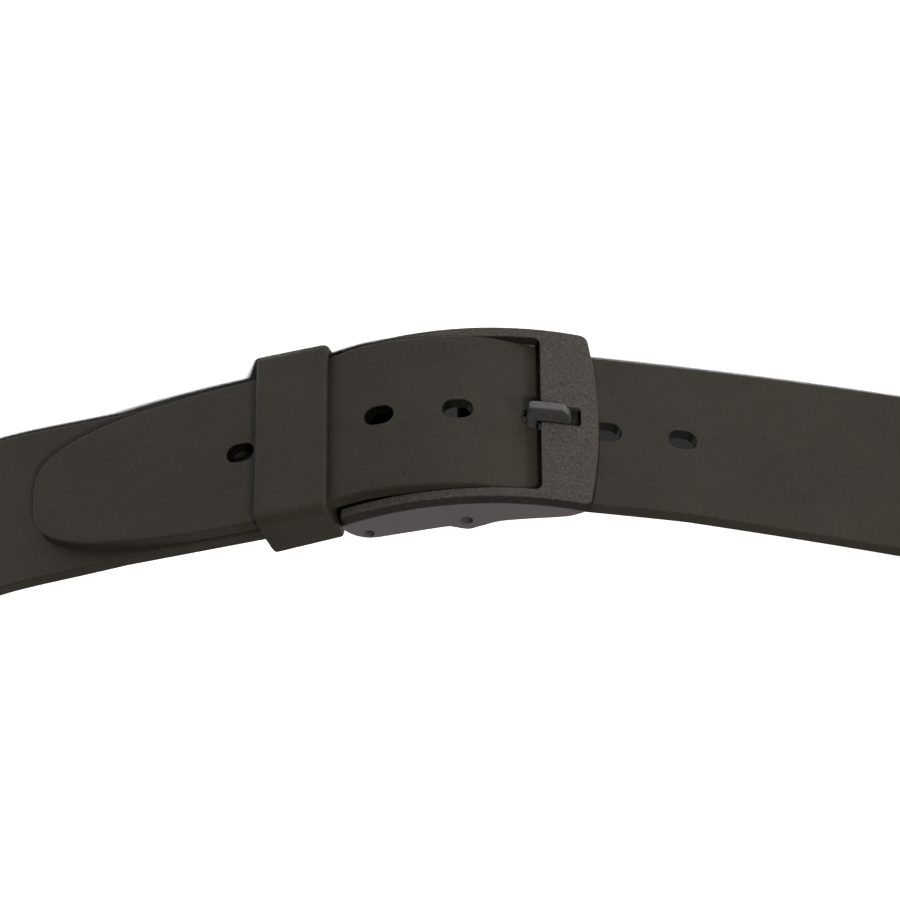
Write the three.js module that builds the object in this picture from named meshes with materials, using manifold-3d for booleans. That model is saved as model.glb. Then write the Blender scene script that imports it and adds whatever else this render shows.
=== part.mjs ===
// Dive weight belt: a rubber strap closed by a pin buckle, with a sliding keeper that holds the tail.
// Millimetres, +Z up. The belt stands on its lower edge as a closed loop, with the buckle at the front (-Y)
// and the strap's tail pointing to +X.
import * as THREE from 'three';
import { mergeVertices } from 'three/addons/utils/BufferGeometryUtils.js';
import Module from 'manifold-3d';

const wasm = await Module();
wasm.setup();

const DEG = Math.PI / 180;
const GAP = 0.3; // clearance between touching pieces

// ---- Strap ----
const STRAP_WIDTH = 50.8;
const STRAP_THICKNESS = 4;
const STRAP_HEADING = 18.6; // direction of the straight stretch under the tail
const TIP_LENGTH = 58; // the tail ends in a long, full curve
const LOWER_TIP_LENGTH = 75; // its lower edge curves in sooner
const LOWER_TIP_FULLNESS = 0.35;
const TIP_END_HALF_WIDTH = 7;
const TIP_FULLNESS = 0.27; // 0.5 would be half an ellipse
const TIP_STEPS = 12;
const TAPER = 1.2; // each edge draws in by this much towards the tip
const TAPER_LENGTH = 130;
const SLOT_LENGTH = 8.2;
const SLOT_HEIGHT = 6;
const SLOT_PITCH = 21.8;
const SLOTS_BEFORE_PRONG = 2;
const SLOTS_AFTER_PRONG = 4;
const EYE_RADIUS = 4.5; // moulded eye at the fixed end
const EYE_LIP_LENGTH = 15; // a lip of the eye behind the tail, from the axle
const EYE_LIP_THICKNESS = 3;
const EYE_DROP = 3.9; // the axle lies this far inside the strap's middle surface

// Away from the buckle the strap leans in and comes down to the floor.
const LEAN_CENTRE_X = 13;
const LEAN_START = 79;
const LEAN_PER_MM = 0.085;
const LEAN_LIMIT = 7;
const LEAN_DEPTH_START = 35;
const FRONT_LIFT = 3.6; // height of the strap's lower edge at the buckle
const LOWERING_LENGTH = 180;
const BACK_LIFT = (STRAP_THICKNESS / 2) * Math.sin(LEAN_LIMIT * DEG);

// ---- Buckle, in its own frame: x to the tail side, y inwards, z up ----
const BUCKLE_POSITION = new THREE.Vector3(-3.75, -12.13, 0);
const BUCKLE_TURN = 5.92;
const FRAME_WIDTH = 58;
const FRAME_RADIUS = 86; // arched outer face
const FRAME_RISE = 6.8;
const FRAME_THICKNESS = 3.7;
const FRAME_LEFT = 34.3;
const BAR_INNER_X = -22;
const BAR_CORNER_X = -35.2;
const BAR_MIDDLE_X = -37.9;
const ARM_WIDTH = 3.2;
const FRAME_CORNER = 2.2;
const WINDOW_CORNER = 1.7;
const BAR_EDGE_DRAFT = 0.3; // the bar's free edge starts this far outside its corners
const NOTCH_END_X = -33.1;
const NOTCH_WIDTH = 6.4;
const NOTCH_DEPTH = 2.7;
const NOTCH_CORNER = 1.2;
const CHEEK_INSET = 0.4;
const CHEEK_THICKNESS = ARM_WIDTH - CHEEK_INSET;
const CHEEK_LEFT = 34.4;
const CHEEK_RIGHT = -33.5;
const STRAP_AXLE = new THREE.Vector2(27.4, 9.16);
const STRAP_AXLE_RADIUS = 1.2;
const STRAP_AXLE_INSET = 1.5;
const SLEEVE_RADIUS = 2.2;
const PRONG_AXLE = new THREE.Vector2(-0.3, 5.4);
const PRONG_AXLE_RADIUS = 1.4;
const PRONG_AXLE_INSET = 2.3;
const SPACER_RADIUS = 2.6;
const MIDDLE_Z = FRAME_WIDTH / 2;

// The prong is a plate: an eye on its axle, an arm under the strap, a riser through a slot, and a beak along
// the bar with its point in the notch.
const PRONG_THICKNESS = 2.7;
const PRONG_EYE_RADIUS = 3.2;
const PRONG_ARM_BELLY_Y = 8.8;
const PRONG_ARM_INNER_Y = 5.2;
const PRONG_PROUD = 3.6;
const PRONG_RISER_LEFT = -17.4;
const PRONG_CREST_X = -20.2;
const PRONG_RISER_RIGHT = -20.9;
const PRONG_TIP_X = -30.9;
const PRONG_NOSE = 2.2;
const RISER_SLOT_Y = 1.1; // the strap's middle surface at the riser

// ---- Keeper, in its own frame: x along the strap, y inwards, z up ----
const KEEPER_START = 7.9; // from the strap axle, along the strap
const KEEPER_SLANT = 0.8; // its upper edge lies this much nearer the buckle
const KEEPER_LENGTH = 21.5;
const KEEPER_WALL = 2.3;
const KEEPER_EDGE_WALL = 3;
const KEEPER_FRONT = 12.2; // outer face, measured outwards from the strap's middle surface
const KEEPER_BACK = 4.5;
const KEEPER_BACK_SPREAD = 1.7; // the back wall is this much deeper at the tail side
const KEEPER_CORNER = 3;
const KEEPER_EDGE_GAP = 0.5; // room beside each edge of the strap

// ---- Solids ----
function solid(geometry) {
  const bare = geometry.clone();
  bare.deleteAttribute('normal');
  bare.deleteAttribute('uv');
  const merged = mergeVertices(bare, 1e-4);
  return new wasm.Manifold(new wasm.Mesh({
    numProp: 3,
    vertProperties: new Float32Array(merged.attributes.position.array),
    triVerts: new Uint32Array(merged.index.array),
  }));
}

function geometryOf(manifold) {
  const mesh = manifold.getMesh();
  const geometry = new THREE.BufferGeometry();
  geometry.setAttribute('position', new THREE.BufferAttribute(mesh.vertProperties, 3));
  geometry.setIndex(new THREE.BufferAttribute(mesh.triVerts, 1));
  geometry.computeVertexNormals();
  return geometry;
}

function prism(shape, z0, z1, curveSegments = 12) {
  const geometry = new THREE.ExtrudeGeometry(shape, { depth: z1 - z0, bevelEnabled: false, curveSegments });
  return geometry.translate(0, 0, z0);
}

// An outline drawn in x and z, extruded along y from y0 to y1.
function platePrism(shape, y0, y1, curveSegments = 12) {
  const geometry = new THREE.ExtrudeGeometry(shape, { depth: y1 - y0, bevelEnabled: false, curveSegments });
  return geometry.rotateX(Math.PI / 2).translate(0, y1, 0);
}

function rod(centre, radius, z0, z1, sides = 24) {
  const geometry = new THREE.CylinderGeometry(radius, radius, z1 - z0, sides);
  return geometry.rotateX(Math.PI / 2).translate(centre.x, centre.y, (z0 + z1) / 2);
}

function tube(centre, outerRadius, innerRadius, z0, z1, sides = 24) {
  const bore = rod(centre, innerRadius, z0 - 1, z1 + 1, sides);
  return geometryOf(solid(rod(centre, outerRadius, z0, z1, sides)).subtract(solid(bore)));
}

function roundedRectangle(x0, y0, x1, y1, r, path = new THREE.Shape()) {
  path.moveTo(x0 + r, y0);
  path.lineTo(x1 - r, y0);
  path.absarc(x1 - r, y0 + r, r, -Math.PI / 2, 0);
  path.lineTo(x1, y1 - r);
  path.absarc(x1 - r, y1 - r, r, 0, Math.PI / 2);
  path.lineTo(x0 + r, y1);
  path.absarc(x0 + r, y1 - r, r, Math.PI / 2, Math.PI);
  path.lineTo(x0, y0 + r);
  path.absarc(x0 + r, y0 + r, r, Math.PI, Math.PI * 1.5);
  return path;
}

// ---- The strap's route ----
// A leg is [length, turn in degrees, steps]. The turn eases in and out along the leg.
const FIXED_END_LEGS = [[93.7, 0, 12], [45, 16.9, 8], [80, 54.5, 14]];
const LEFT_SIDE_LEG = [164, 0, 8];
const CORNER_LEG = [120, 90, 22];
const RIGHT_CORNER_LEG = [100, 74, 16];
const FREE_END_START = new THREE.Vector2(-150, 17.8);
const FREE_END_LEGS = [
  [116.6, 6.1, 14], [12, -16.6, 5], [33.4, 33.6, 12], [28, 22.9, 8], [32, -11.4, 8], [2.8, 0, 1],
];
const SUBSTEPS = 8;

function walk(start, heading, legs) {
  const stations = [{ s: 0, x: start.x, y: start.y, heading }];
  let { x, y } = start;
  let s = 0;
  for (const [length, turn, steps] of legs) {
    const count = steps * SUBSTEPS;
    const ease = (q) => heading + turn * q * q * (3 - 2 * q);
    const from = s;
    for (let i = 1; i <= count; i++) {
      const middle = ease((i - 0.5) / count) * DEG;
      x += (length / count) * Math.cos(middle);
      y += (length / count) * Math.sin(middle);
      s = from + (length * i) / count;
      if (i % SUBSTEPS === 0) stations.push({ s, x, y, heading: ease(i / count) });
    }
    heading += turn;
  }
  return stations;
}

// The back and the right side are as long as it takes for the loop to close on the free end.
function strapStations(start) {
  const back = [0, 0, 1];
  const rightSide = [0, 0, 6];
  const loop = [...FIXED_END_LEGS, LEFT_SIDE_LEG, CORNER_LEG, back, CORNER_LEG, rightSide, RIGHT_CORNER_LEG];
  const open = walk(start, STRAP_HEADING, loop).at(-1);
  back[0] = open.x - FREE_END_START.x;
  rightSide[0] = open.y - FREE_END_START.y;
  const stations = walk(start, STRAP_HEADING, [...loop, ...FREE_END_LEGS]);
  const last = stations.at(-1);
  for (let i = 1; i <= TIP_STEPS; i++) {
    const along = TIP_LENGTH * Math.sin((i / TIP_STEPS) * (Math.PI / 2));
    stations.push({
      s: last.s + along,
      x: last.x + along * Math.cos(last.heading * DEG),
      y: last.y + along * Math.sin(last.heading * DEG),
      heading: last.heading,
    });
  }
  return stations;
}

// The strap's cross directions at a place on its route: up the strap's width, and outwards.
function strapAxes(station) {
  const { x, y, heading } = station;
  const reach = Math.abs(x - LEAN_CENTRE_X) + Math.max(0, y - LEAN_DEPTH_START) - LEAN_START;
  const lean = Math.min(LEAN_LIMIT, LEAN_PER_MM * Math.max(0, reach)) * DEG;
  const q = THREE.MathUtils.clamp(reach / LOWERING_LENGTH, 0, 1);
  const lift = FRONT_LIFT + (BACK_LIFT - FRONT_LIFT) * q * q * (3 - 2 * q);
  const outX = Math.sin(heading * DEG);
  const outY = -Math.cos(heading * DEG);
  const along = new THREE.Vector3(-outY, outX, 0);
  const up = new THREE.Vector3(-outX * Math.sin(lean), -outY * Math.sin(lean), Math.cos(lean));
  const out = new THREE.Vector3(outX * Math.cos(lean), outY * Math.cos(lean), Math.sin(lean));
  return { foot: new THREE.Vector3(x, y, lift), along, up, out };
}

function strapBand(stations) {
  const steps = stations.length - 1;
  const band = new THREE.BoxGeometry(steps, 2, 2, steps, 1, 1).translate(steps / 2, 0, 0);
  const places = band.attributes.position;
  const tip = stations.at(-1).s;
  for (let i = 0; i < places.count; i++) {
    const station = stations[Math.round(places.getX(i))];
    const { foot, up, out } = strapAxes(station);
    const [length, fullness] = places.getY(i) < 0
      ? [LOWER_TIP_LENGTH, LOWER_TIP_FULLNESS] : [TIP_LENGTH, TIP_FULLNESS];
    const intoTip = Math.max(0, 1 - (tip - station.s) / length);
    const drawnIn = TAPER * Math.max(0, 1 - (tip - station.s) / TAPER_LENGTH);
    const fullHalf = STRAP_WIDTH / 2 - drawnIn;
    const halfWidth = Math.max(TIP_END_HALF_WIDTH, fullHalf * Math.pow(1 - intoTip * intoTip, fullness));
    const place = foot.addScaledVector(up, STRAP_WIDTH / 2 + places.getY(i) * halfWidth)
      .addScaledVector(out, (places.getZ(i) * STRAP_THICKNESS) / 2);
    places.setXYZ(i, place.x, place.y, place.z);
  }
  return band;
}

function stationAt(stations, s) {
  const next = stations.findIndex((station) => station.s > s);
  const a = stations[next - 1];
  const b = stations[next];
  const t = (s - a.s) / (b.s - a.s);
  const mix = (key) => THREE.MathUtils.lerp(a[key], b[key], t);
  return { s, x: mix('x'), y: mix('y'), heading: mix('heading') };
}

function slotCutter(station) {
  const half = (SLOT_LENGTH - SLOT_HEIGHT) / 2;
  const r = SLOT_HEIGHT / 2;
  const outline = new THREE.Shape();
  outline.moveTo(-half, -r);
  outline.lineTo(half, -r);
  outline.absarc(half, 0, r, -Math.PI / 2, Math.PI / 2);
  outline.lineTo(-half, r);
  outline.absarc(-half, 0, r, Math.PI / 2, Math.PI * 1.5);
  const { foot, along, up, out } = strapAxes(station);
  const middle = foot.addScaledVector(up, STRAP_WIDTH / 2);
  const placing = new THREE.Matrix4().makeBasis(along, up, out).setPosition(middle);
  return prism(outline, -STRAP_THICKNESS, STRAP_THICKNESS, 6).applyMatrix4(placing);
}

function strapGeometry(stations, prongPlace, axle) {
  const low = FRONT_LIFT;
  const high = FRONT_LIFT + STRAP_WIDTH;
  const lip = roundedRectangle(-EYE_LIP_LENGTH, -EYE_LIP_THICKNESS, 0, 0, EYE_LIP_THICKNESS / 3);
  const lipPlace = new THREE.Matrix4().makeRotationZ(BUCKLE_TURN * DEG).setPosition(axle.x, axle.y, 0);
  let strap = solid(strapBand(stations)).add(solid(rod(axle, EYE_RADIUS, low, high, 28)));
  strap = strap.add(solid(prism(lip, low, high, 4).applyMatrix4(lipPlace)));
  strap = strap.subtract(solid(rod(axle, SLEEVE_RADIUS + GAP, low - 1, high + 1, 24)));
  for (let i = -SLOTS_BEFORE_PRONG; i <= SLOTS_AFTER_PRONG; i++) {
    strap = strap.subtract(solid(slotCutter(stationAt(stations, prongPlace + i * SLOT_PITCH))));
  }
  return geometryOf(strap);
}

// ---- Buckle pieces ----
// The frame's arched faces are arcs about one centre; y of the arc of the given radius at x.
const ARCH_CENTRE_Y = FRAME_RADIUS - FRAME_RISE;
const archY = (radius, x) => ARCH_CENTRE_Y - Math.sqrt(radius * radius - x * x);
const archAngle = (radius, x) => Math.atan2(archY(radius, x) - ARCH_CENTRE_Y, x);

function archBand(outerRadius, innerRadius, x0, x1) {
  const band = new THREE.Shape();
  band.absarc(0, ARCH_CENTRE_Y, outerRadius, archAngle(outerRadius, x0), archAngle(outerRadius, x1), false);
  band.absarc(0, ARCH_CENTRE_Y, innerRadius, archAngle(innerRadius, x1), archAngle(innerRadius, x0), true);
  return band;
}

function frameOutline() {
  const r = FRAME_CORNER;
  const edgeX = BAR_CORNER_X - BAR_EDGE_DRAFT;
  const outline = new THREE.Shape();
  outline.moveTo(FRAME_LEFT, 0);
  outline.lineTo(FRAME_LEFT, FRAME_WIDTH);
  outline.lineTo(BAR_CORNER_X + r, FRAME_WIDTH);
  outline.quadraticCurveTo(BAR_CORNER_X, FRAME_WIDTH, edgeX, FRAME_WIDTH - r);
  outline.quadraticCurveTo(2 * BAR_MIDDLE_X - edgeX, MIDDLE_Z, edgeX, r);
  outline.quadraticCurveTo(BAR_CORNER_X, 0, BAR_CORNER_X + r, 0);
  return outline;
}

function frameGeometry() {
  const reach = 60; // well past the frame on every side
  const shell = archBand(FRAME_RADIUS, FRAME_RADIUS - FRAME_THICKNESS, BAR_MIDDLE_X - 1, FRAME_LEFT + 1);
  const plate = solid(prism(shell, 0, FRAME_WIDTH, 36))
    .intersect(solid(platePrism(frameOutline(), -reach, reach)));
  const opening = roundedRectangle(BAR_INNER_X, ARM_WIDTH, reach, FRAME_WIDTH - ARM_WIDTH, WINDOW_CORNER);
  const notchLow = MIDDLE_Z - NOTCH_WIDTH / 2;
  const notchOutline = roundedRectangle(NOTCH_END_X, notchLow, 0, notchLow + NOTCH_WIDTH, NOTCH_CORNER);
  const aboveNotchFloor = archBand(FRAME_RADIUS + 3, FRAME_RADIUS - NOTCH_DEPTH, NOTCH_END_X - 2, 1);
  const notch = solid(platePrism(notchOutline, -reach, reach, 4))
    .intersect(solid(prism(aboveNotchFloor, 0, FRAME_WIDTH, 16)));
  return geometryOf(plate.subtract(solid(platePrism(opening, -reach, reach, 5))).subtract(notch));
}

// Side plate under a frame arm: its upper edge follows the arch, its lower edge swells round the two axles.
const CHEEK_LOWER_EDGE = [
  [34.9, 5.3], [33.6, 7.7], [31, 10.2], [26.7, 11.56], [18.5, 10.3], [6, 8.2], [3.4, 8.6], [-0.4, 9.9],
  [-4.6, 8.6], [-11, 6.8], [-26, 6.6], [-29.8, 6.2], [-32.9, 5],
];

function cheekOutline() {
  const radius = FRAME_RADIUS - FRAME_THICKNESS - GAP;
  const outline = new THREE.Shape();
  outline.absarc(0, ARCH_CENTRE_Y, radius, archAngle(radius, CHEEK_RIGHT), archAngle(radius, CHEEK_LEFT));
  const edge = CHEEK_LOWER_EDGE.map(([x, y]) => new THREE.Vector2(x, y));
  outline.lineTo(edge[0].x, edge[0].y);
  outline.splineThru(edge.slice(1));
  return outline;
}

function cheekGeometry(z0, z1) {
  const holes = solid(rod(STRAP_AXLE, STRAP_AXLE_RADIUS + GAP, z0 - 1, z1 + 1, 20))
    .add(solid(rod(PRONG_AXLE, PRONG_AXLE_RADIUS + GAP, z0 - 1, z1 + 1, 20)));
  return geometryOf(solid(prism(cheekOutline(), z0, z1, 7)).subtract(holes));
}

function prongGeometry() {
  const topRadius = FRAME_RADIUS + PRONG_PROUD;
  const footRadius = FRAME_RADIUS - NOTCH_DEPTH + GAP;
  const footX = PRONG_TIP_X + 1.2;
  const noseX = PRONG_TIP_X + PRONG_NOSE;
  const outline = new THREE.Shape();
  outline.moveTo(PRONG_AXLE.x, PRONG_AXLE.y - PRONG_EYE_RADIUS + 0.2);
  outline.absarc(PRONG_AXLE.x, PRONG_AXLE.y, PRONG_EYE_RADIUS, -Math.PI / 2, Math.PI / 2, false);
  outline.lineTo(PRONG_RISER_RIGHT + 2, PRONG_ARM_BELLY_Y);
  outline.quadraticCurveTo(PRONG_RISER_RIGHT, PRONG_ARM_BELLY_Y, PRONG_RISER_RIGHT, PRONG_ARM_BELLY_Y - 2);
  outline.lineTo(PRONG_RISER_RIGHT, archY(footRadius, PRONG_RISER_RIGHT));
  outline.lineTo(footX, archY(footRadius, footX));
  outline.quadraticCurveTo(PRONG_TIP_X - 0.6, -1.2, noseX, archY(topRadius, noseX));
  outline.absarc(0, ARCH_CENTRE_Y, topRadius, archAngle(topRadius, noseX),
    archAngle(topRadius, PRONG_CREST_X));
  const crestY = archY(topRadius, PRONG_CREST_X);
  outline.quadraticCurveTo(PRONG_CREST_X + 1.1, crestY, PRONG_CREST_X + 1.5, crestY + 1.5);
  outline.lineTo(PRONG_RISER_LEFT, RISER_SLOT_Y);
  outline.lineTo(PRONG_RISER_LEFT, PRONG_ARM_INNER_Y);
  const plate = prism(outline, MIDDLE_Z - PRONG_THICKNESS / 2, MIDDLE_Z + PRONG_THICKNESS / 2);
  return geometryOf(solid(plate).subtract(solid(rod(PRONG_AXLE, PRONG_AXLE_RADIUS + GAP, 0, FRAME_WIDTH))));
}

// ---- Keeper ----
function keeperGeometry() {
  const low = FRONT_LIFT - KEEPER_EDGE_GAP - KEEPER_EDGE_WALL;
  const high = FRONT_LIFT + STRAP_WIDTH + KEEPER_EDGE_GAP + KEEPER_EDGE_WALL;
  const ring = roundedRectangle(-KEEPER_FRONT, low, KEEPER_BACK, high, KEEPER_CORNER);
  ring.holes.push(roundedRectangle(-KEEPER_FRONT + KEEPER_WALL, low + KEEPER_EDGE_WALL,
    KEEPER_BACK - KEEPER_WALL, high - KEEPER_EDGE_WALL, 0.3, new THREE.Path()));
  const geometry = prism(ring, 0, KEEPER_LENGTH, 5).rotateX(Math.PI / 2).rotateZ(Math.PI / 2);
  const places = geometry.attributes.position;
  for (let i = 0; i < places.count; i++) {
    const [x, y, z] = [places.getX(i), places.getY(i), places.getZ(i)];
    const deeper = y > 0 ? (KEEPER_BACK_SPREAD * x) / KEEPER_LENGTH : 0;
    places.setXYZ(i, x - (KEEPER_SLANT * z) / FRAME_WIDTH, y + deeper, z);
  }
  return geometryOf(solid(geometry));
}

// ---- Assembly ----
const RUBBER = { color: 0x3e3b37, roughness: 0.7, metalness: 0 };
const TEXTURED = { color: 0x4e4a46, roughness: 0.6, metalness: 0.2 };
const SMOOTH = { color: 0x544e4e, roughness: 0.45, metalness: 0 };
const STEEL = { color: 0x8a8a8a, roughness: 0.35, metalness: 1 };
const PRONG = { color: 0x3a3834, roughness: 0.4, metalness: 0.2 };

function piece(name, geometry, look) {
  const mesh = new THREE.Mesh(geometry, new THREE.MeshStandardMaterial(look));
  mesh.name = name;
  return mesh;
}

const buckle = new THREE.Group();
buckle.position.copy(BUCKLE_POSITION);
buckle.rotation.z = BUCKLE_TURN * DEG;
buckle.updateMatrixWorld();
const inBelt = (x, y) => buckle.localToWorld(new THREE.Vector3(x, y, 0));

const upper = (z) => FRAME_WIDTH - z; // the same height measured down from the upper side
const spacerEnds = [ARM_WIDTH + GAP, MIDDLE_Z - PRONG_THICKNESS / 2 - GAP];
const sleeveEnd = FRONT_LIFT + 0.2;
const spacer = (z0, z1) => tube(PRONG_AXLE, SPACER_RADIUS, PRONG_AXLE_RADIUS + GAP, z0, z1);
buckle.add(
  piece('buckle_frame', frameGeometry(), TEXTURED),
  piece('cheek_lower', cheekGeometry(CHEEK_INSET, CHEEK_INSET + CHEEK_THICKNESS), SMOOTH),
  piece('cheek_upper', cheekGeometry(upper(CHEEK_INSET + CHEEK_THICKNESS), upper(CHEEK_INSET)), SMOOTH),
  piece('strap_axle', rod(STRAP_AXLE, STRAP_AXLE_RADIUS, STRAP_AXLE_INSET, upper(STRAP_AXLE_INSET)), STEEL),
  piece('strap_eye_sleeve', tube(STRAP_AXLE, SLEEVE_RADIUS, STRAP_AXLE_RADIUS + GAP, sleeveEnd,
    upper(sleeveEnd)), STEEL),
  piece('prong_axle', rod(PRONG_AXLE, PRONG_AXLE_RADIUS, PRONG_AXLE_INSET, upper(PRONG_AXLE_INSET)), STEEL),
  piece('prong', prongGeometry(), PRONG),
  piece('prong_spacer_lower', spacer(spacerEnds[0], spacerEnds[1]), SMOOTH),
  piece('prong_spacer_upper', spacer(upper(spacerEnds[1]), upper(spacerEnds[0])), SMOOTH),
);

const axle = inBelt(STRAP_AXLE.x, STRAP_AXLE.y);
const fixedEnd = new THREE.Vector2(
  axle.x + EYE_DROP * Math.sin(STRAP_HEADING * DEG),
  axle.y - EYE_DROP * Math.cos(STRAP_HEADING * DEG),
);
const stations = strapStations(fixedEnd);

// One slot sits over the prong's riser; the others follow at the pitch.
const riser = inBelt((PRONG_RISER_LEFT + PRONG_RISER_RIGHT) / 2, RISER_SLOT_Y);
const distanceToRiser = ({ x, y }) => Math.hypot(x - riser.x, y - riser.y);
const freeEnd = stations.slice(stations.length / 2);
const nearest = freeEnd.reduce((a, b) => (distanceToRiser(a) < distanceToRiser(b) ? a : b));
const prongPlace = nearest.s + (riser.x - nearest.x) / Math.cos(nearest.heading * DEG);

const keeper = new THREE.Group();
keeper.rotation.z = STRAP_HEADING * DEG;
keeper.position.set(
  fixedEnd.x + KEEPER_START * Math.cos(STRAP_HEADING * DEG),
  fixedEnd.y + KEEPER_START * Math.sin(STRAP_HEADING * DEG),
  0,
);
keeper.add(piece('keeper', keeperGeometry(), RUBBER));

const belt = new THREE.Group();
belt.add(piece('strap', strapGeometry(stations, prongPlace, axle), RUBBER), keeper, buckle);

// The origin is the middle of the belt's footprint, on the floor.
const extent = new THREE.Box3().setFromObject(belt);
const middle = extent.getCenter(new THREE.Vector3());
belt.position.set(-middle.x, -middle.y, -extent.min.z);

export default belt;
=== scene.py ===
import math

import bpy
import numpy as np
from mathutils import Matrix, Vector
from mathutils.geometry import delaunay_2d_cdt
from mathutils.kdtree import KDTree


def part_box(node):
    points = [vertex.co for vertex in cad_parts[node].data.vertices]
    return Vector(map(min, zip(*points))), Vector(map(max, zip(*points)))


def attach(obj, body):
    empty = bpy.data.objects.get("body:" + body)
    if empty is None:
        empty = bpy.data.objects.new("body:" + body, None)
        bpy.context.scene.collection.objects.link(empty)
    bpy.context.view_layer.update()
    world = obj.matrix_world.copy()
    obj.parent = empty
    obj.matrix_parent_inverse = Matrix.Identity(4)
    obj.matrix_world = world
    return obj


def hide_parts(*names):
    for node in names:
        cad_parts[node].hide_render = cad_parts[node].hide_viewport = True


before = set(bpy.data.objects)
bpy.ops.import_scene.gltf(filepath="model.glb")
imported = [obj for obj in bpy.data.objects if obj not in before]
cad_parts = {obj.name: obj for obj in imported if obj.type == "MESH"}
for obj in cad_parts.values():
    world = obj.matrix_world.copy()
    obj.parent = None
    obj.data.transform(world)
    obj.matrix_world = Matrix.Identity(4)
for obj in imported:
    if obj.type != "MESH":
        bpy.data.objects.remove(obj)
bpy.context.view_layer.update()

MM = 0.001


# ---------- where things are ----------
def centre_mm(node):
    lo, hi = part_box(node)
    return np.array((lo + hi) / 2) / MM


BUCKLE_TURN = math.radians(5.92)
STRAP_AXLE = np.array([27.4, 9.16])
PRONG_AXLE = np.array([-0.3, 5.4])
turn_cos, turn_sin = math.cos(BUCKLE_TURN), math.sin(BUCKLE_TURN)
TURN = np.array([[turn_cos, -turn_sin], [turn_sin, turn_cos]])
axle_xy = centre_mm("strap_axle")[:2]
buckle_xy = axle_xy - TURN @ STRAP_AXLE
FRAME_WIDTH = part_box("buckle_frame")[1].z / MM
MIDDLE_Z = FRAME_WIDTH / 2


def in_buckle(x, y, z):
    p = np.stack([np.asarray(x, float), np.asarray(y, float)], -1) @ TURN.T + buckle_xy
    return np.concatenate([p, np.asarray(z, float)[..., None] + np.zeros(p.shape[:-1] + (1,))], -1)


# ---------- building meshes ----------
def signed_area(loop):
    x, y = loop[:, 0], loop[:, 1]
    return 0.5 * np.sum(x * np.roll(y, -1) - np.roll(x, -1) * y)


def inside(points, loop):
    """Which points lie inside a closed polygon."""
    result = np.zeros(len(points), bool)
    a, b = loop, np.roll(loop, -1, 0)
    for (x0, y0), (x1, y1) in zip(a, b):
        if y0 == y1:
            continue
        crosses = (y0 > points[:, 1]) != (y1 > points[:, 1])
        result ^= crosses & (points[:, 0] < (x1 - x0) * (points[:, 1] - y0) / (y1 - y0) + x0)
    return result


def into_material(loop):
    """Mitred left-hand normals of a closed loop."""
    d = np.roll(loop, -1, 0) - loop
    d /= np.linalg.norm(d, axis=1)[:, None]
    before = np.roll(d, 1, 0)
    left = lambda v: np.stack([-v[:, 1], v[:, 0]], 1)
    m = left(before) + left(d)
    m /= np.linalg.norm(m, axis=1)[:, None]
    cos_half = np.clip(np.sum(m * left(d), 1), 0.5, 1)
    tangent = before + d
    return m / cos_half[:, None], tangent / np.linalg.norm(tangent, axis=1)[:, None]


def triangulate(loops, grid):
    """Triangles over the first loop less the others. The loops' points come first in the result."""
    points = np.concatenate(loops + ([grid] if len(grid) else []))
    edges, start = [], 0
    for loop in loops:
        n = len(loop)
        edges += [(start + i, start + (i + 1) % n) for i in range(n)]
        start += n
    _, _, faces, origin, _, _ = delaunay_2d_cdt([Vector(p) for p in points], edges, [], 0, 1e-6, True)
    index = [o[0] for o in origin]
    tris = np.array([[index[i] for i in f] for f in faces])
    middle = points[tris].mean(1)
    keep = inside(middle, loops[0])
    for hole in loops[1:]:
        keep &= ~inside(middle, hole)
    return points, tris[keep]


def plain_object(name, verts, faces):
    """An object made of the given points in millimetres, its faces turned outwards."""
    tri_volume = 0.0
    v = np.asarray(verts)
    for f in faces:
        for k in range(1, len(f) - 1):
            tri_volume += np.dot(v[f[0]], np.cross(v[f[k]], v[f[k + 1]]))
    if tri_volume < 0:
        faces = [tuple(reversed(f)) for f in faces]
    mesh = bpy.data.meshes.new(name)
    mesh.from_pydata([tuple(p) for p in v * MM], [], [tuple(int(i) for i in f) for f in faces])
    mesh.validate()
    mesh.update()
    mesh.shade_smooth()
    obj = bpy.data.objects.new(name, mesh)
    bpy.context.scene.collection.objects.link(obj)
    return obj


def mesh_object(name, verts, faces, normals, wall, material, body, node, slot):
    obj = plain_object(name, verts, faces)
    mesh = obj.data
    # The painted shade mark is stored as a point attribute for the materials.
    mesh.attributes.new("wall", "FLOAT", "POINT").data.foreach_set("value", np.asarray(wall, np.float32))
    if normals is not None:
        mesh.normals_split_custom_set_from_vertices([tuple(n) for n in normals])
    mesh.materials.append(material)
    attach(obj, body)
    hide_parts(node)
    return obj


def unit(v):
    return v / np.maximum(np.linalg.norm(v, axis=-1, keepdims=True), 1e-12)


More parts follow.
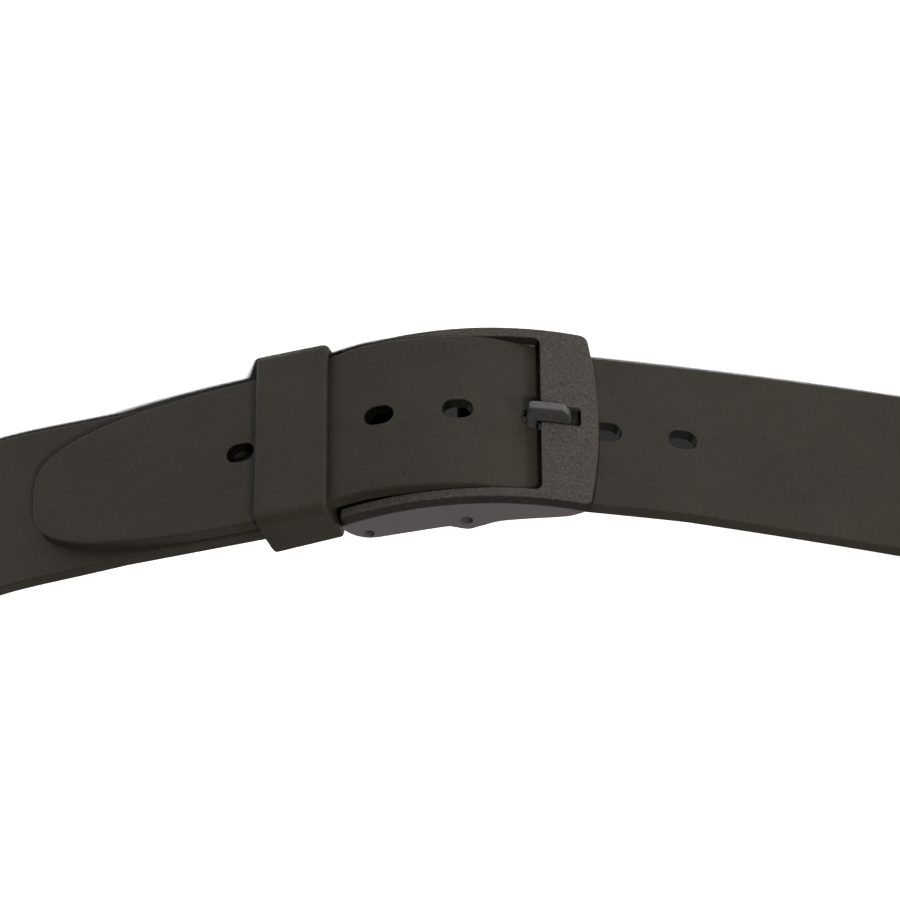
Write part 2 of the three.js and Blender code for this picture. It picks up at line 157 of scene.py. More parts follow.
class Plate:
    """A plate drawn in a flat domain (u, v), with depth h from its front face, then bent into place.
    Its edges are rounded over, its holes go right through, and its normals follow the true shape."""

    def __init__(self, bend, thickness, step=0.02):
        self.bend, self.thickness, self.step = bend, thickness, step
        self.verts, self.normals, self.wall, self.faces = [], [], [], []

    def _frame(self, u, v, h):
        e = self.step
        pu = self.bend(u + e, v, h) - self.bend(u - e, v, h)
        pv = self.bend(u, v + e, h) - self.bend(u, v - e, h)
        ph = self.bend(u, v, h + e) - self.bend(u, v, h - e)
        front = unit(np.cross(pu, pv))
        front *= -np.sign(np.sum(front * ph, -1, keepdims=True))
        return pu, pv, ph, front

    def _add(self, u, v, h, theta, loop_m=None, loop_t=None, side=1.0, shade_share=1.0):
        """Adds a row of points; theta is how far the surface has turned from the face towards the wall."""
        h = np.full(len(u), float(h)) if np.isscalar(h) else h
        pu, pv, ph, front = self._frame(u, v, h)
        normal = front * side
        if loop_m is not None:
            t = loop_t[:, :1] * pu + loop_t[:, 1:] * pv
            out = unit(np.cross(t, ph))
            towards = loop_m[:, :1] * pu + loop_m[:, 1:] * pv
            out *= -np.sign(np.sum(out * towards, -1, keepdims=True))
            normal = unit(math.cos(theta) * front * side + math.sin(theta) * out)
        start = len(self.verts)
        self.verts += list(self.bend(u, v, h))
        self.normals += list(normal)
        # Painted shade mark: the further a point has turned towards a wall, the more the materials darken it.
        self.wall += [shade_share * math.sin(theta) ** 2] * len(u)
        return np.arange(start, start + len(u))

    def build(self, outline, holes=(), grid=(), edge=0.5, hole_edge=0.3, back_edge=None, arc=4, wall_rings=0,
              outer_shade_share=1.0):
        """edge, hole_edge and back_edge are rounding radii. The outer share is how much of the painted shade
        mark, which darkens walls and roundings in the materials that read it, goes on the outer wall."""
        back_edge = edge if back_edge is None else back_edge
        outline = outline if signed_area(outline) > 0 else outline[::-1]
        loops = [(outline, edge, back_edge)]
        for loop in holes:
            loop = loop if signed_area(loop) < 0 else loop[::-1]
            loops.append((loop, hole_edge, min(hole_edge, back_edge)))
        fronts, backs, front_ids, back_ids = [], [], [], []
        T = self.thickness
        for loop, r, rb in loops:
            m, t = into_material(loop)
            shade_share = outer_shade_share if loop is outline else 1.0
            rows = []
            for k in range(arc + 1):
                a = math.pi / 2 * k / arc
                p = loop + m * (r * (1 - math.sin(a)))
                rows.append(self._add(p[:, 0], p[:, 1], r * (1 - math.cos(a)), a, m, t, shade_share=shade_share))
                if k == 0:
                    fronts.append(p)
                    front_ids.append(rows[0])
            for k in range(1, wall_rings + 1):
                h = r + (T - rb - r) * k / (wall_rings + 1)
                rows.append(self._add(loop[:, 0], loop[:, 1], h, math.pi / 2, m, t, shade_share=shade_share))
            for k in range(arc, -1, -1):
                a = math.pi / 2 * k / arc
                p = loop + m * (rb * (1 - math.sin(a)))
                rows.append(self._add(p[:, 0], p[:, 1], T - rb * (1 - math.cos(a)), a, m, t, -1.0, shade_share))
            backs.append(p)
            back_ids.append(rows[-1])
            n = len(loop)
            for a, b in zip(rows, rows[1:]):
                self.faces += [(a[i], b[i], b[(i + 1) % n], a[(i + 1) % n]) for i in range(n)]
        grid = np.asarray(grid, float).reshape(-1, 2)
        for side, edges, ids, h in ((1.0, fronts, front_ids, 0.0), (-1.0, backs, back_ids, T)):
            g = grid
            if len(g):
                keep = inside(g, edges[0])
                for hole in edges[1:]:
                    keep &= ~inside(g, hole)
                for loop in edges:
                    if len(loop) < 400:  # the strap's long outline is left out
                        keep &= np.min(np.linalg.norm(g[:, None] - loop[None], axis=2), axis=1) > 0.5
                g = g[keep]
            points, tris = triangulate(list(edges), g)
            known = np.concatenate(ids)
            extra = self._add(g[:, 0], g[:, 1], h, 0.0, side=side) if len(g) else np.zeros(0, int)
            all_ids = np.concatenate([known, extra])
            for f in tris:
                f = f if side > 0 else f[::-1]
                self.faces.append(tuple(all_ids[i] for i in f))

    def finish(self, *args):
        return mesh_object(args[0], self.verts, self.faces, self.normals, self.wall, *args[1:])


def arc_points(cx, cy, r, a0, a1, n):
    a = np.radians(np.linspace(a0, a1, n))
    return np.stack([cx + r * np.cos(a), cy + r * np.sin(a)], 1)


def rounded_rect(x0, y0, x1, y1, r, n=7):
    return np.concatenate([
        arc_points(x1 - r, y0 + r, r, -90, 0, n), arc_points(x1 - r, y1 - r, r, 0, 90, n),
        arc_points(x0 + r, y1 - r, r, 90, 180, n), arc_points(x0 + r, y0 + r, r, 180, 270, n)])


def circle(cx, cy, r, n=32):
    return arc_points(cx, cy, r, 0, 360, n + 1)[:-1]


def resample(loop, spacing):
    """Splits the long edges of a closed loop."""
    out = []
    for p, q in zip(loop, np.roll(loop, -1, 0)):
        n = max(1, int(np.ceil(np.linalg.norm(q - p) / spacing)))
        out += [p + (q - p) * i / n for i in range(n)]
    return np.array(out)


def drop_repeats(points):
    points = np.asarray(points, float)
    step = np.linalg.norm(points - np.roll(points, 1, 0), axis=1)
    return points[step > 1e-4]


def lattice(x0, y0, x1, y1, dx, dy):
    x, y = np.meshgrid(np.arange(x0 + dx / 2, x1, dx), np.arange(y0 + dy / 2, y1, dy))
    return np.stack([x.ravel(), y.ravel()], 1)


def quadratic(p0, p1, p2, n):
    t = np.linspace(0, 1, n)[:, None]
    p0, p1, p2 = map(np.array, (p0, p1, p2))
    return (1 - t) ** 2 * p0 + 2 * t * (1 - t) * p1 + t * t * p2


def lathe(name, profile, centre, place, material, body, node, slot, segments=40):
    """profile is a closed loop of (radius, z); a radius of 0 closes the end in one point."""
    verts, normals, rows = [], [], []
    profile = np.array(profile, float)
    d = np.roll(profile, -1, 0) - np.roll(profile, 1, 0)
    n2 = unit(np.stack([d[:, 1], -d[:, 0]], 1))
    for (r, z), (nr, nz) in zip(profile, n2):
        if r < 1e-6:
            rows.append([len(verts)] * segments)
            verts.append((0, 0, z))
            continue
        rows.append(list(range(len(verts), len(verts) + segments)))
        for k in range(segments):
            a = 2 * math.pi * k / segments
            verts.append((r * math.cos(a), r * math.sin(a), z))
    faces = []
    for a, b in zip(rows, rows[1:] + rows[:1]):
        if a[0] == a[1] and b[0] == b[1]:
            continue
        for k in range(segments):
            j = (k + 1) % segments
            f = [a[k], a[j], b[j], b[k]]
            f = [x for i, x in enumerate(f) if x != f[i - 1]]
            if len(f) > 2:
                faces.append(tuple(f))
    v = np.array(verts)
    v = place(centre[0] + v[:, 0], centre[1] + v[:, 1], v[:, 2])
    obj = mesh_object(name, v, faces, None, np.zeros(len(v)), material, body, node, slot)
    obj.data.set_sharp_from_angle(angle=math.radians(35))
    return obj


# ---------- materials ----------
def material(name, colour, roughness, metallic=0.0):
    mat = bpy.data.materials.new(name)
    mat.use_nodes = True
    nodes, links = mat.node_tree.nodes, mat.node_tree.links
    shader = nodes["Principled BSDF"]
    shader.inputs["Metallic"].default_value = metallic
    shader.inputs["Roughness"].default_value = roughness
    shader.inputs["Base Color"].default_value = (*colour, 1)
    where = nodes.new("ShaderNodeTexCoord").outputs["Object"]
    return mat, nodes, links, shader, where


def noise(nodes, links, where, scale, detail=3.0, roughness=0.55):
    n = nodes.new("ShaderNodeTexNoise")
    n.inputs["Scale"].default_value = scale
    n.inputs["Detail"].default_value = detail
    n.inputs["Roughness"].default_value = roughness
    links.new(where, n.inputs["Vector"])
    return n.outputs["Fac"]


def ramp(nodes, links, value, stops):
    r = nodes.new("ShaderNodeValToRGB")
    while len(r.color_ramp.elements) < len(stops):
        r.color_ramp.elements.new(0.5)
    for e, (at, colour) in zip(r.color_ramp.elements, stops):
        e.position = at
        e.color = (*colour, 1) if len(colour) == 3 else colour
    links.new(value, r.inputs["Fac"])
    return r.outputs["Color"]


def grey(x):
    return (x, x, x)


def mix(nodes, links, fac, a, b, blend="MIX"):
    m = nodes.new("ShaderNodeMix")
    m.data_type = "RGBA"
    m.blend_type = blend
    for socket, value in ((m.inputs[0], fac), (m.inputs[6], a), (m.inputs[7], b)):
        if isinstance(value, bpy.types.NodeSocket):
            links.new(value, socket)
        else:
            socket.default_value = value if isinstance(value, float) else (*value, 1)
    return m.outputs[2]


def attribute(nodes, name):
    a = nodes.new("ShaderNodeAttribute")
    a.attribute_name = name
    return a.outputs["Fac"]


def bump(nodes, links, shader, height, strength, distance):
    b = nodes.new("ShaderNodeBump")
    b.inputs["Strength"].default_value = strength
    b.inputs["Distance"].default_value = distance
    links.new(height, b.inputs["Height"])
    links.new(b.outputs["Normal"], shader.inputs["Normal"])


RUBBER = (0.0130, 0.0108, 0.0080)


def rubber_material(name="rubber"):
    mat, nodes, links, shader, where = material(name, RUBBER, 0.5)
    cloud = ramp(nodes, links, noise(nodes, links, where, 35, 4),
                 [(0.3, tuple(c * 0.88 for c in RUBBER)), (0.7, tuple(c * 1.12 for c in RUBBER))])
    speck = ramp(nodes, links, noise(nodes, links, where, 1400, 2),
                 [(0.35, grey(0.86)), (0.65, grey(1.14))])
    base = mix(nodes, links, 1.0, cloud, speck, "MULTIPLY")
    # Painted shade: walls and roundings that carry the shade mark are darkened towards 0.12 of the rubber's
    # colour.
    shaded_rubber = mix(nodes, links, attribute(nodes, "wall"), base, tuple(c * 0.12 for c in RUBBER))
    links.new(shaded_rubber, shader.inputs["Base Color"])
    smear = ramp(nodes, links, noise(nodes, links, where, 60, 3), [(0.3, grey(0.46)), (0.7, grey(0.56))])
    links.new(smear, shader.inputs["Roughness"])
    bump(nodes, links, shader, noise(nodes, links, where, 2600, 3), 0.25, 0.00004)
    shader.inputs["Specular IOR Level"].default_value = 0.12
    return mat


COAT = (0.0188, 0.0160, 0.0131)


def coat_material():
    mat, nodes, links, shader, where = material("textured_frame", COAT, 0.55)
    grain = noise(nodes, links, where, 1600, 2, 0.6)
    shader.inputs["Specular IOR Level"].default_value = 0.18
    fine = ramp(nodes, links, grain,
                [(0.33, tuple(c * 0.6 for c in COAT)), (0.68, tuple(c * 1.5 for c in COAT))])
    # Painted shade: the frame's side walls, roundings and notch walls that carry the shade mark are darkened
    # towards 0.3 of the coat's colour.
    side = mix(nodes, links, attribute(nodes, "wall"), fine, tuple(c * 0.3 for c in COAT))
    # Painted glints: sparse bright grey specks mixed into the coat's colour.
    painted_glints = ramp(nodes, links, noise(nodes, links, where, 3400, 1, 0.5), [(0.70, grey(0)), (0.76, grey(1))])
    base = mix(nodes, links, painted_glints, side, (0.13, 0.125, 0.12))
    links.new(base, shader.inputs["Base Color"])
    bump(nodes, links, shader, grain, 0.55, 0.00012)
    return mat


CHEEK = (0.034, 0.0265, 0.0275)


def cheek_material():
    mat, nodes, links, shader, where = material("smooth_cheek", CHEEK, 0.38)
    cloud = ramp(nodes, links, noise(nodes, links, where, 90, 3),
                 [(0.3, tuple(c * 0.9 for c in CHEEK)), (0.7, tuple(c * 1.1 for c in CHEEK))])
    links.new(cloud, shader.inputs["Base Color"])
    bump(nodes, links, shader, noise(nodes, links, where, 1800, 2), 0.12, 0.00003)
    return mat


def steel_material():
    mat, nodes, links, shader, where = material("steel", (0.16, 0.155, 0.15), 0.4, 1.0)
    stretch = nodes.new("ShaderNodeMapping")
    stretch.inputs["Scale"].default_value = (1, 1, 12)
    links.new(where, stretch.inputs["Vector"])
    lines = noise(nodes, links, stretch.outputs["Vector"], 300, 3)
    links.new(ramp(nodes, links, lines, [(0.3, grey(0.26)), (0.7, grey(0.42))]), shader.inputs["Roughness"])
    return mat


PRONG = (0.022, 0.0205, 0.018)


def prong_material():
    mat, nodes, links, shader, where = material("dark_prong", PRONG, 0.36)
    cloud = ramp(nodes, links, noise(nodes, links, where, 400, 3),
                 [(0.3, tuple(c * 0.85 for c in PRONG)), (0.7, tuple(c * 1.15 for c in PRONG))])
    links.new(cloud, shader.inputs["Base Color"])
    bump(nodes, links, shader, noise(nodes, links, where, 2200, 2), 0.15, 0.00003)
    return mat


rubber = rubber_material()
coat = coat_material()
cheek_look = cheek_material()
steel = steel_material()
prong_look = prong_material()

# ---------- the strap ----------
STRAP_WIDTH, STRAP_THICKNESS, HEADING, TIP = 50.8, 4.0, 18.6, 58.0
SLOT_LENGTH, SLOT_HEIGHT, SLOT_PITCH = 8.2, 6.0, 21.8
SLOTS_BEFORE_PRONG, SLOTS_AFTER_PRONG = 2, 4
LIFT = 3.6
# Away from the buckle the strap leans in and comes down to the floor.
LEAN_CENTRE_X, LEAN_START, LEAN_DEPTH_START = 13, 79, 35
LEAN_PER_MM, LEAN_LIMIT, LOWERING_LENGTH = 0.085, 7, 180
BACK_LIFT = STRAP_THICKNESS / 2 * math.sin(math.radians(LEAN_LIMIT))
BUCKLE_POSITION = np.array([-3.75, -12.13])


def walk(x, y, heading, legs):
    s, rows = 0.0, [(0.0, x, y, heading)]
    for length, turn, steps in legs:
        count = steps * 8
        start = s
        for i in range(1, count + 1):
            q = (i - 0.5) / count
            middle = math.radians(heading + turn * q * q * (3 - 2 * q))
            x += length / count * math.cos(middle)
            y += length / count * math.sin(middle)
            s = start + length * i / count
            q = i / count
            rows.append((s, x, y, heading + turn * q * q * (3 - 2 * q)))
        heading += turn
    return np.array(rows)


design_shift = axle_xy - (TURN @ STRAP_AXLE + BUCKLE_POSITION)
h0 = math.radians(HEADING)
EYE_DROP = 3.9
fixed = axle_xy - design_shift + EYE_DROP * np.array([math.sin(h0), -math.cos(h0)])
back_leg, side_leg = [0, 0, 1], [0, 0, 6]
corner_leg = [120, 90, 22]
loop_legs = [[93.7, 0, 12], [45, 16.9, 8], [80, 54.5, 14], [164, 0, 8], corner_leg, back_leg, corner_leg,
             side_leg, [100, 74, 16]]
free_start = (-150.0, 17.8)
open_end = walk(*fixed, HEADING, loop_legs)[-1]
back_leg[0] = open_end[1] - free_start[0]
side_leg[0] = open_end[2] - free_start[1]
route = walk(*fixed, HEADING, loop_legs + [[116.6, 6.1, 14], [12, -16.6, 5], [33.4, 33.6, 12], [28, 22.9, 8],
                                           [32, -11.4, 8], [2.8, 0, 1]])
last = route[-1]
tip_s = np.linspace(0.5, TIP + 1, 40)
tip_rows = [(last[0] + t, last[1] + t * math.cos(math.radians(last[3])),
             last[2] + t * math.sin(math.radians(last[3])), last[3]) for t in tip_s]
lead = [(-1.0, fixed[0] - math.cos(h0), fixed[1] - math.sin(h0), HEADING)]
route = np.concatenate([lead, route, tip_rows])
STRAP_END = last[0] + TIP


def strap_place(s, v, h):
    """A point of the strap: s along it, v across it from its middle, h deep from its outer face."""
    x, y, heading = (np.interp(s, route[:, 0], route[:, k]) for k in (1, 2, 3))
    reach = np.abs(x - LEAN_CENTRE_X) + np.maximum(0, y - LEAN_DEPTH_START) - LEAN_START
    lean = np.radians(np.minimum(LEAN_LIMIT, LEAN_PER_MM * np.maximum(0, reach)))
    q = np.clip(reach / LOWERING_LENGTH, 0, 1)
    lift = LIFT + (BACK_LIFT - LIFT) * q * q * (3 - 2 * q)
    a = np.radians(heading)
    ox, oy = np.sin(a), -np.cos(a)
    width, out = v + STRAP_WIDTH / 2, STRAP_THICKNESS / 2 - h
    px = x - ox * np.sin(lean) * width + ox * np.cos(lean) * out + design_shift[0]
    py = y - oy * np.sin(lean) * width + oy * np.cos(lean) * out + design_shift[1]
    pz = lift + np.cos(lean) * width + np.sin(lean) * out
    return np.stack([px, py, pz], -1)


RISER = np.array([-19.25, 1.1])  # where the prong comes up through the strap, in the buckle's frame
riser = TURN @ RISER + BUCKLE_POSITION
free = route[(route[:, 0] > route[-1, 0] / 2) & (route[:, 2] < 60)]
prong_s = np.interp(riser[0], free[:, 1], free[:, 0])

TAPER, TAPER_LENGTH = 1.2, 130
TIP_FULLNESS = 0.27  # 0.5 would be half an ellipse
LOWER_TIP, LOWER_FULLNESS = 75, 0.35


def half_width(d, length=TIP, fullness=TIP_FULLNESS):
    """Half the strap's width at a distance d from its tip."""
    full = STRAP_WIDTH / 2 - TAPER * np.maximum(0, 1 - d / TAPER_LENGTH)
    into = np.clip(1 - d / length, 0, 1)
    return full * (1 - into * into) ** fullness


def strap_outline():
    # Points crowd towards the tip, where the edge turns fastest.
    nearest = np.linspace(0.25, 1, 7)[:-1] ** 3 * 0.4
    near = np.linspace(0.63, 1, 30) ** 9 * 24
    d = np.concatenate([nearest, near, np.arange(26.0, STRAP_END, 3.0), [STRAP_END]])
    upper = np.stack([STRAP_END - d, half_width(d)], 1)
    lower = np.stack([STRAP_END - d, -half_width(d, LOWER_TIP, LOWER_FULLNESS)], 1)
    nose = quadratic(lower[0], (STRAP_END + 0.1, 0), upper[0], 9)[1:-1]
    side = resample(np.array([upper[-1], lower[-1]]), 4.0)[:13]
    return drop_repeats(np.concatenate([lower[::-1], nose, upper, side[1:]]))


def slot_loop(s):
    half, r = (SLOT_LENGTH - SLOT_HEIGHT) / 2, SLOT_HEIGHT / 2
    return np.concatenate([arc_points(s + half, 0, r, -90, 90, 15), arc_points(s - half, 0, r, 90, 270, 15)])


strap = Plate(strap_place, STRAP_THICKNESS)
slots = [slot_loop(prong_s + i * SLOT_PITCH) for i in range(-SLOTS_BEFORE_PRONG, SLOTS_AFTER_PRONG + 1)]
# Only the slots' walls and roundings carry the painted shade mark; the strap's outer edge carries none.
strap.build(strap_outline(), slots, lattice(0, -25, STRAP_END, 25, 4, 5), edge=0.7, hole_edge=0.35,
            back_edge=0.25, arc=5, outer_shade_share=0.0)
strap.finish("strap_look", rubber, "belt", "strap", "rubber")

# The moulded eye that the strap's fixed end hangs by, and its short lip behind the tail.
EYE_TOP = LIFT + STRAP_WIDTH
eye_turn = [(2.5, LIFT + 0.6), (2.8, LIFT + 0.3), (3.9, LIFT + 0.3), (4.3, LIFT + 0.7),
            (4.3, EYE_TOP - 0.7), (3.9, EYE_TOP - 0.3), (2.8, EYE_TOP - 0.3), (2.5, EYE_TOP - 0.6)]
LIP_LENGTH, LIP_THICKNESS, LIP_INNER_X = 15, 3, -3.4


def lip_place(u, v, h):
    return in_buckle(STRAP_AXLE[0] + u, STRAP_AXLE[1] + v, LIFT + STRAP_WIDTH - h)


lip = Plate(lip_place, STRAP_WIDTH)
# The lip's walls carry the full painted shade mark, so its rubber is painted dark.
lip.build(rounded_rect(-LIP_LENGTH, -LIP_THICKNESS, LIP_INNER_X, 0, LIP_THICKNESS / 3), [], (),
          edge=0.3, arc=2, wall_rings=4)
lip.finish("strap_lip", rubber, "belt", "strap", "rubber")
lathe("strap_eye", eye_turn, STRAP_AXLE, in_buckle, rubber, "belt", "strap", "rubber")

# ---------- the buckle ----------
R, RISE, T = 86.0, 6.8, 3.7
CENTRE_Y = R - RISE
LEFT, BAR_INNER, BAR_CORNER, BAR_MIDDLE, ARM = 34.3, -22.0, -35.2, -37.9, 3.2


def arch_y(radius, x):
    return CENTRE_Y - np.sqrt(radius * radius - x * x)


def frame_place(u, v, h):
    return in_buckle(u, arch_y(R - h, u), v)


edge_x, r = BAR_CORNER - 0.3, 2.2
# The window is open at the strap's fixed end, so the outline runs round the two arms and the bar.
WINDOW_CORNER = 1.7
corner_x = BAR_INNER + WINDOW_CORNER
corner_low = arc_points(corner_x, ARM + WINDOW_CORNER, WINDOW_CORNER, 270, 180, 7)
corner_high = arc_points(corner_x, FRAME_WIDTH - ARM - WINDOW_CORNER, WINDOW_CORNER, 180, 90, 7)
yoke = np.concatenate([
    [[LEFT, ARM]], corner_low, corner_high, [[LEFT, FRAME_WIDTH - ARM]],
    [[LEFT, FRAME_WIDTH]],
    quadratic((BAR_CORNER + r, FRAME_WIDTH), (BAR_CORNER, FRAME_WIDTH), (edge_x, FRAME_WIDTH - r), 9),
    quadratic((edge_x, FRAME_WIDTH - r), (2 * BAR_MIDDLE - edge_x, MIDDLE_Z), (edge_x, r), 33)[1:],
    quadratic((edge_x, r), (BAR_CORNER, 0), (BAR_CORNER + r, 0), 9)[1:],
    [[LEFT, 0.0]]])
yoke = resample(drop_repeats(yoke), 2.0)
shell = Plate(frame_place, T)
shell.build(yoke, [], lattice(-38, 0, 35, 58, 2.5, 2.5), edge=0.45, arc=4)
shell_look = shell.finish("frame_look", coat, "belt", "buckle_frame", "textured_frame")

NOTCH_END, NOTCH_HALF, NOTCH_DEPTH, NOTCH_CORNER = -33.1, 3.2, 2.7, 1.2


def cut_notch(obj, plate):
    """Cuts the notch that holds the prong's point into the bar. It is open towards the window."""
    cutter = Plate(lambda u, v, h: frame_place(u, v, h - 3), 3 + NOTCH_DEPTH)
    notch = rounded_rect(NOTCH_END, MIDDLE_Z - NOTCH_HALF, BAR_INNER + 3, MIDDLE_Z + NOTCH_HALF, NOTCH_CORNER)
    cutter.build(notch, [], (), edge=0.3, arc=2)
    tool = plain_object("notch_tool", cutter.verts, cutter.faces)
    cut = obj.modifiers.new("cut", "BOOLEAN")
    cut.operation, cut.solver, cut.object = "DIFFERENCE", "EXACT", tool
    bpy.context.view_layer.update()
    made = bpy.data.meshes.new_from_object(obj.evaluated_get(bpy.context.evaluated_depsgraph_get()))
    obj.modifiers.remove(cut)
    bpy.data.objects.remove(tool)
    obj.data = made
    tree = KDTree(len(plate.verts))
    for i, p in enumerate(plate.verts):
        tree.insert(Vector(p) * MM, i)
    tree.balance()
    hub = in_buckle(0, CENTRE_Y, 0) * MM
    # Painted shade mark: the notch's own walls get all of it, and the arch's surface at its floor gets none.
    wall = np.ones(len(made.vertices))
    found = []
    for v in made.vertices:
        _, i, distance = tree.find(v.co)
        found.append(i if distance < 2e-6 else None)
        if found[-1] is not None:
            wall[v.index] = plate.wall[i]
    normals = [None] * len(made.loops)
    for face in made.polygons:
        for k in face.loop_indices:
            v = made.loops[k].vertex_index
            radial = made.vertices[v].co - Vector((hub[0], hub[1], made.vertices[v].co.z))
            old = Vector(plate.normals[found[v]]) if found[v] is not None else None
            if old is not None and old.dot(face.normal) > 0.5:
                normals[k] = old
            elif abs(radial.length / MM - R) < 0.02 and radial.normalized().dot(face.normal) > 0.8:
                normals[k] = radial.normalized()
                wall[v] = 0.0
            else:
                normals[k] = face.normal.copy()
    shade = made.attributes.get("wall") or made.attributes.new("wall", "FLOAT", "POINT")
    shade.data.foreach_set("value", wall.astype(np.float32))
    made.normals_split_custom_set(normals)


cut_notch(shell_look, shell)

GAP = 0.3
STRAP_AXLE_R, PRONG_AXLE_R = 1.2, 1.4
CHEEK_INSET = 0.4
CHEEK_EDGE = [[34.9, 5.3], [33.6, 7.7], [31, 10.2], [26.7, 11.56], [18.5, 10.3], [6, 8.2], [3.4, 8.6],
              [-0.4, 9.9], [-4.6, 8.6], [-11, 6.8], [-26, 6.6], [-29.8, 6.2], [-32.9, 5]]


def smooth_line(points, per=7):
    """Catmull-Rom through the points."""
    p = np.array(points, float)
    p = np.concatenate([[2 * p[0] - p[1]], p, [2 * p[-1] - p[-2]]])
    out = []
    for i in range(1, len(p) - 2):
        for t in np.arange(per) / per:
            a, b, c, d = p[i - 1:i + 3]
            out.append(0.5 * (2 * b + (c - a) * t + (2 * a - 5 * b + 4 * c - d) * t * t
                              + (3 * b - a - 3 * c + d) * t ** 3))
    return np.array(out + [p[-2]])


top_x = np.linspace(-33.5, 34.4, 50)
cheek_outline = drop_repeats(np.concatenate([
    np.stack([top_x, arch_y(R - T - GAP, top_x)], 1), smooth_line(CHEEK_EDGE)]))
for name, z0, z1 in (("lower", ARM, CHEEK_INSET), ("upper", FRAME_WIDTH - ARM, FRAME_WIDTH - CHEEK_INSET)):
    def cheek_place(u, v, h, z0=z0, z1=z1):
        return in_buckle(u, v, z1 + (z0 - z1) * h / (ARM - CHEEK_INSET))

    cheek = Plate(cheek_place, ARM - CHEEK_INSET)
    pin_holes = [circle(*STRAP_AXLE, STRAP_AXLE_R + GAP), circle(*PRONG_AXLE, PRONG_AXLE_R + GAP)]
    cheek.build(cheek_outline, pin_holes, lattice(-33, -2, 36, 12, 3, 2.5), edge=0.35,
                hole_edge=0.12, arc=3)
    cheek.finish("cheek_%s_look" % name, cheek_look, "belt", "cheek_" + name, "smooth_cheek")


def pin_profile(radius, z0, z1, chamfer=0.25):
    return [(0, z0), (radius - chamfer, z0), (radius, z0 + chamfer), (radius, z1 - chamfer),
            (radius - chamfer, z1), (0, z1)]


def tube_profile(outer, inner, z0, z1, chamfer=0.2):
    return [(inner, z0 + chamfer), (inner + chamfer, z0), (outer - chamfer, z0), (outer, z0 + chamfer),
            (outer, z1 - chamfer), (outer - chamfer, z1), (inner + chamfer, z1), (inner, z1 - chamfer)]


W, PRONG_THICKNESS = FRAME_WIDTH, 2.7
pins = (("strap_axle", STRAP_AXLE_R, 1.5, STRAP_AXLE), ("prong_axle", PRONG_AXLE_R, 2.3, PRONG_AXLE))
for node, radius, inset, centre in pins:
    profile = pin_profile(radius, inset, W - inset)
    lathe(node + "_look", profile, centre, in_buckle, steel, "belt", node, "steel")
sleeve = tube_profile(2.2, STRAP_AXLE_R + GAP, LIFT + 0.2, W - LIFT - 0.2)
lathe("sleeve_look", sleeve, STRAP_AXLE, in_buckle, steel, "belt", "strap_eye_sleeve", "steel")
low_end = (ARM + GAP, MIDDLE_Z - PRONG_THICKNESS / 2 - GAP)
for name, (z0, z1) in (("lower", low_end), ("upper", (W - low_end[1], W - low_end[0]))):
    spacer = tube_profile(2.6, PRONG_AXLE_R + GAP, z0, z1)
    lathe("spacer_%s_look" % name, spacer, PRONG_AXLE, in_buckle, cheek_look, "belt",
          "prong_spacer_" + name, "smooth_cheek")

# ---------- the prong ----------
PRONG_PROUD, PRONG_EYE_R, BELLY_Y = 3.6, 3.2, 8.8
TOP_R, FOOT_R = R + PRONG_PROUD, R - NOTCH_DEPTH + GAP
riser_l, riser_r, crest_x, tip_x = -17.4, -20.9, -20.2, -30.9
nose_x, foot_x = tip_x + 2.2, tip_x + 1.2
foot_y = arch_y(FOOT_R, foot_x)
beak = np.linspace(nose_x, crest_x, 14)
crest_y = arch_y(TOP_R, crest_x)
prong_outline = np.concatenate([
    arc_points(*PRONG_AXLE, PRONG_EYE_R, -90, 90, 19),
    quadratic((riser_r + 2, BELLY_Y), (riser_r, BELLY_Y), (riser_r, BELLY_Y - 2), 7),
    [[riser_r, arch_y(FOOT_R, riser_r)], [foot_x, foot_y]],
    quadratic((foot_x, foot_y), (tip_x - 0.6, -1.2), (nose_x, arch_y(TOP_R, nose_x)), 9)[1:],
    np.stack([beak, arch_y(TOP_R, beak)], 1)[1:],
    quadratic((crest_x, crest_y), (crest_x + 1.1, crest_y), (crest_x + 1.5, crest_y + 1.5), 7)[1:],
    [[riser_l, 1.1], [riser_l, 5.2]]])
prong_outline = resample(drop_repeats(prong_outline), 2.0)


def prong_place(u, v, h):
    return in_buckle(u, v, MIDDLE_Z + PRONG_THICKNESS / 2 - h)


prong = Plate(prong_place, PRONG_THICKNESS)
prong.build(prong_outline, [circle(*PRONG_AXLE, PRONG_AXLE_R + GAP)], lattice(-32, -8, 3, 9, 2.5, 2.5),
            edge=0.45, hole_edge=0.15, arc=4)
prong.finish("prong_look", prong_look, "prong", "prong", "dark_prong")

# ---------- the keeper ----------
KEEPER_START, KEEPER_LENGTH = 7.9, 21.5
KEEPER_FRONT, KEEPER_BACK, KEEPER_BACK_SPREAD = 12.2, 4.5, 1.7
KEEPER_WALL, KEEPER_EDGE_WALL, KEEPER_EDGE_GAP = 2.3, 3, 0.5
KEEPER_CORNER, KEEPER_SLANT = 3.0, 0.8
keeper_xy = fixed + KEEPER_START * np.array([math.cos(h0), math.sin(h0)]) + design_shift


def keeper_place(u, v, h):
    x = KEEPER_LENGTH - h
    u = u + np.where(u > 0, KEEPER_BACK_SPREAD * x / KEEPER_LENGTH, 0)
    x = x - KEEPER_SLANT * v / FRAME_WIDTH
    px = keeper_xy[0] + x * math.cos(h0) - u * math.sin(h0)
    py = keeper_xy[1] + x * math.sin(h0) + u * math.cos(h0)
    return np.stack([px, py, v + 0 * px], -1)


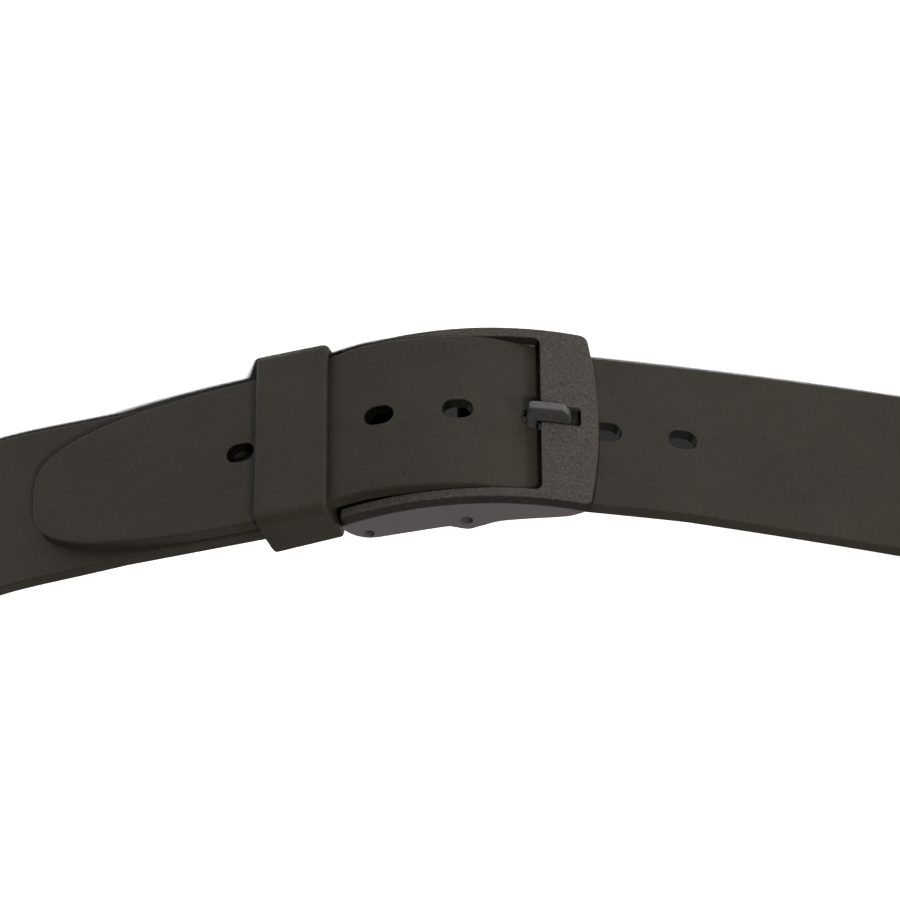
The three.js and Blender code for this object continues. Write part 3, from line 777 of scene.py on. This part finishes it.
low = LIFT - KEEPER_EDGE_GAP - KEEPER_EDGE_WALL
high = FRAME_WIDTH - low
outer = resample(rounded_rect(-KEEPER_FRONT, low, KEEPER_BACK, high, KEEPER_CORNER, 9), 3.0)
inner = resample(rounded_rect(KEEPER_WALL - KEEPER_FRONT, low + KEEPER_EDGE_WALL, KEEPER_BACK - KEEPER_WALL,
                              high - KEEPER_EDGE_WALL, 0.8, 6), 3.0)
keeper = Plate(keeper_place, KEEPER_LENGTH)
# The keeper's inner passage carries the painted shade mark; its outer walls carry none.
keeper.build(outer, [inner], (), edge=1.1, hole_edge=0.5, arc=5, wall_rings=6, outer_shade_share=0.0)
keeper.finish("keeper_look", rubber, "keeper", "keeper", "rubber")


# ---------- floor, light and camera ----------
def floor():
    mat, nodes, links, shader, where = material("floor", (0.9, 0.9, 0.9), 0.9)
    tone = ramp(nodes, links, noise(nodes, links, where, 3, 2), [(0.3, grey(0.89)), (0.7, grey(0.91))])
    links.new(tone, shader.inputs["Base Color"])
    shader.inputs["Specular IOR Level"].default_value = 0.0
    mesh = bpy.data.meshes.new("floor")
    size, z = 6.0, -0.0003
    corners = [(-size, -size, z), (size, -size, z), (size, size, z), (-size, size, z)]
    mesh.from_pydata(corners, [], [(0, 1, 2, 3)])
    obj = bpy.data.objects.new("floor", mesh)
    mesh.materials.append(mat)
    bpy.context.scene.collection.objects.link(obj)


def aim(obj, position, target):
    obj.location = position
    obj.rotation_mode = "QUATERNION"
    obj.rotation_quaternion = (Vector(target) - Vector(position)).to_track_quat("-Z", "Y")


def sun(name, elevation, azimuth, strength, angle, glossy=True):
    data = bpy.data.lights.new(name, "SUN")
    data.energy = strength
    data.angle = math.radians(angle)
    obj = bpy.data.objects.new(name, data)
    e, a = math.radians(elevation), math.radians(azimuth)
    aim(obj, (math.sin(a) * math.cos(e), -math.cos(a) * math.cos(e), math.sin(e)), (0, 0, 0))
    obj.visible_glossy = glossy
    bpy.context.scene.collection.objects.link(obj)


def softbox(name, position, target, width, height, power, diffuse=True):
    data = bpy.data.lights.new(name, "AREA")
    data.shape = "RECTANGLE"
    data.size, data.size_y = width, height
    data.energy = power
    obj = bpy.data.objects.new(name, data)
    aim(obj, position, target)
    obj.visible_diffuse = diffuse
    bpy.context.scene.collection.objects.link(obj)


floor()
sun("key", 43, -18, 6.2, 8, glossy=False)
sun("side", 25, -65, 2.4, 10, glossy=False)
softbox("back", (0, 1.7, 1.3), (0, -0.1, 0), 3.0, 1.4, 9, diffuse=False)

world = bpy.data.worlds.new("studio")
world.use_nodes = True
world.node_tree.nodes["Background"].inputs["Color"].default_value = (1, 1, 1, 1)
world.node_tree.nodes["Background"].inputs["Strength"].default_value = 0.04
scene = bpy.context.scene
scene.world = world
scene.view_settings.view_transform = "Standard"

camera_data = bpy.data.cameras.new("camera")
camera_data.sensor_width = 36
camera_data.lens = 141.2
camera = bpy.data.objects.new("camera", camera_data)
tilt = math.radians(35)
CAMERA_DISTANCE = 1.0
target = np.append(design_shift, MIDDLE_Z) * MM
eye_at = target - CAMERA_DISTANCE * np.array([0, math.cos(tilt), -math.sin(tilt)])
camera.matrix_world = Matrix((
    (-1, 0, 0, eye_at[0]),
    (0, -math.sin(tilt), -math.cos(tilt), eye_at[1]),
    (0, -math.cos(tilt), math.sin(tilt), eye_at[2]),
    (0, 0, 0, 1)))
scene.collection.objects.link(camera)
scene.camera = camera
